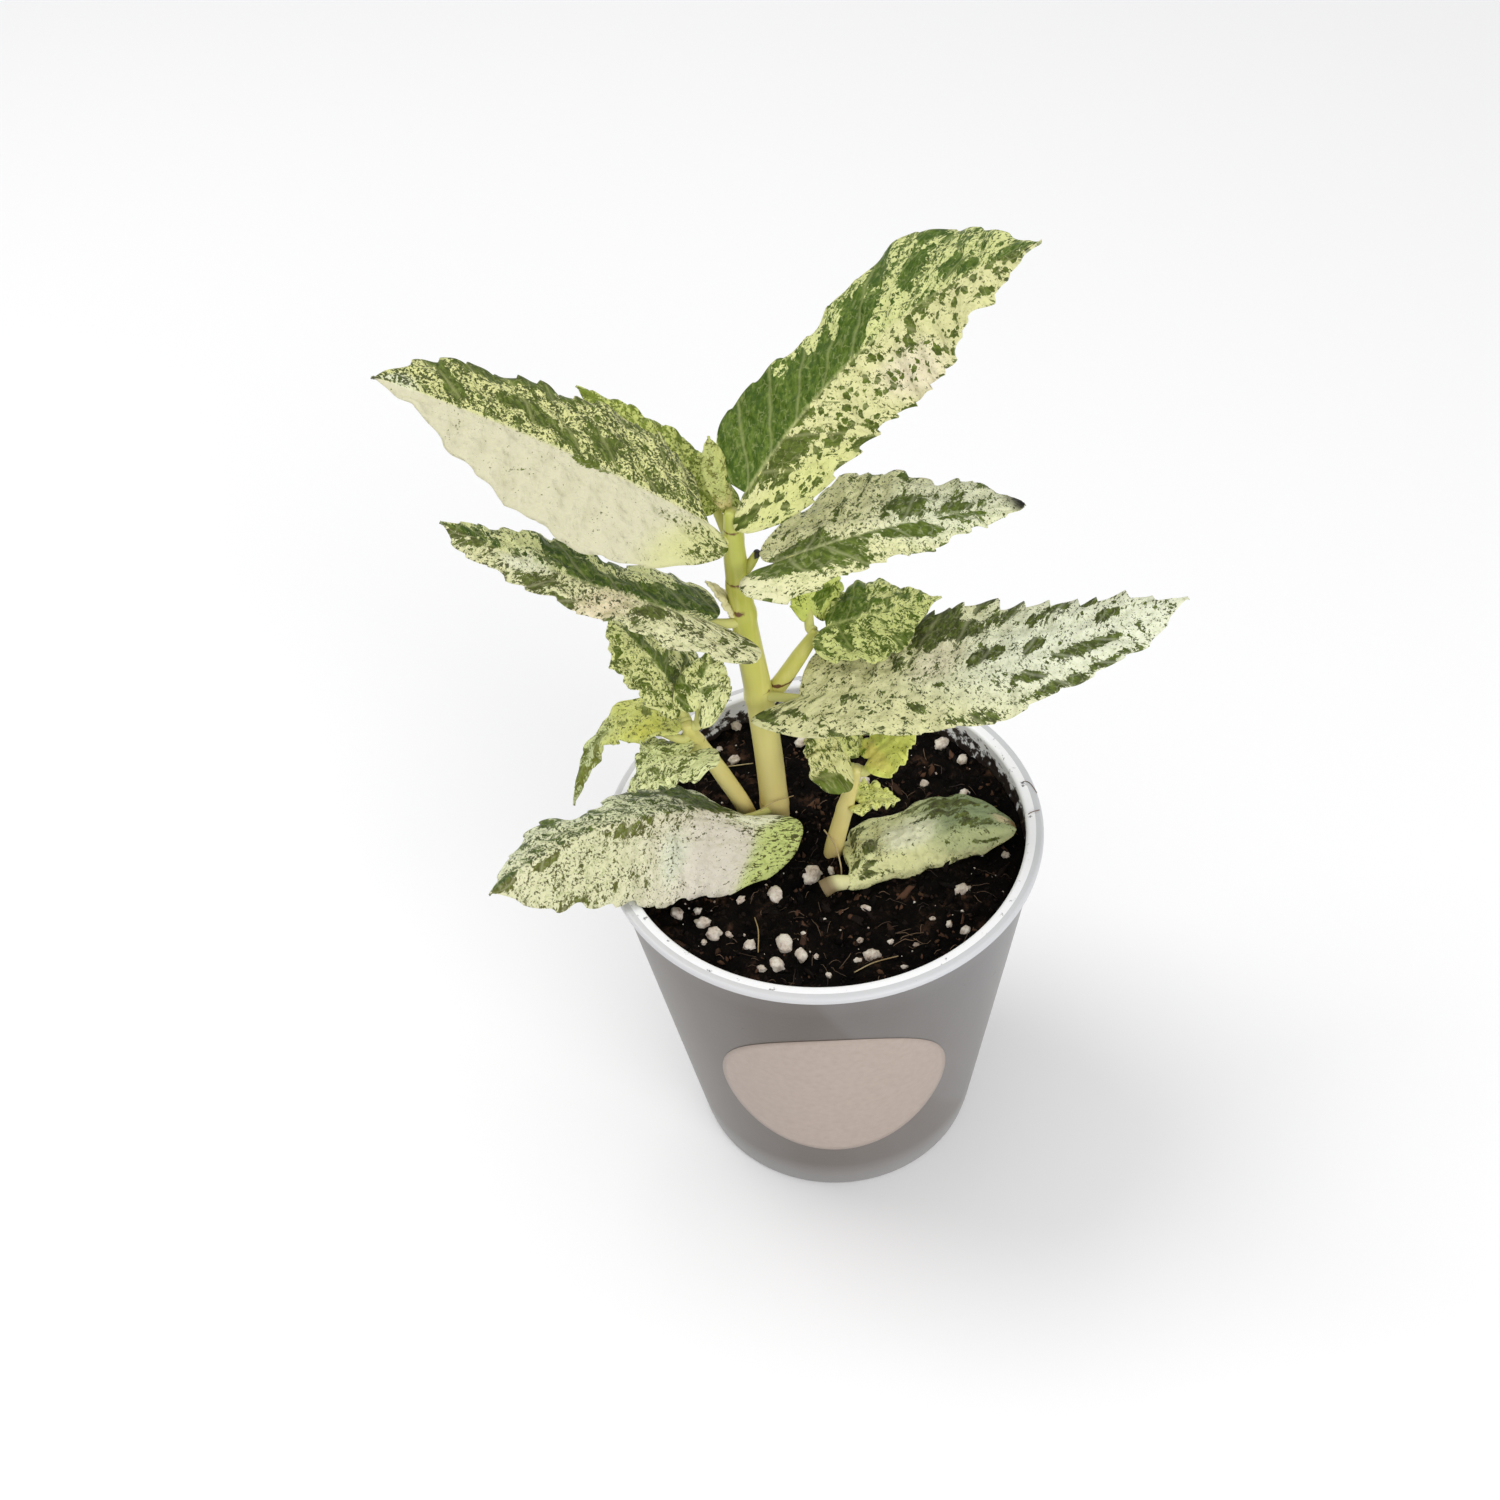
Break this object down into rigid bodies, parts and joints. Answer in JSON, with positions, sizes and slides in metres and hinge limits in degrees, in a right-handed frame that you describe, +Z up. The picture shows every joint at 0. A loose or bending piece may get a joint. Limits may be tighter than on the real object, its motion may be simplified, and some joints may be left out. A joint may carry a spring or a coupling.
{
  "type": "potted pellionia",
  "caption": "House plant with variegated toothed leaves on thick pale stems, in a round tapered nursery pot filled with soil, with a blank round label.",
  "frame": {"origin": "centre of the pot's base, on the surface it stands on", "axes": "+Z up, -Y to the front, where the label is, +X to the right"},
  "size_m": [0.144, 0.09, 0.21],
  "materials": {
    "pot_plastic": "satin",
    "label_paper": "matt",
    "soil": "rough",
    "stem": "satin",
    "leaf": "satin",
    "young_leaf": "satin"
  },
  "bodies": {
    "root": {"pot": "pot_plastic", "label": "label_paper", "soil": "soil", "main_stem": "stem", "left_stem": "stem", "low_right_stem": "stem", "leaf_top_right": "leaf", "leaf_top_left": "leaf", "leaf_top_back": "young_leaf", "leaf_upper_right": "leaf", "leaf_middle_left": "leaf", "leaf_long_right": "leaf", "leaf_low_left": "leaf", "leaf_fallen": "leaf", "right_branch_leaf_1": "leaf", "right_branch_leaf_2": "young_leaf", "left_stem_leaf_1": "leaf", "left_stem_leaf_2": "leaf", "left_stem_leaf_3": "young_leaf", "left_stem_leaf_4": "leaf", "low_right_leaf_1": "young_leaf", "low_right_leaf_2": "young_leaf", "low_right_leaf_3": "young_leaf", "bud": "young_leaf", "stipule": "young_leaf"}
  },
  "joints": []
}
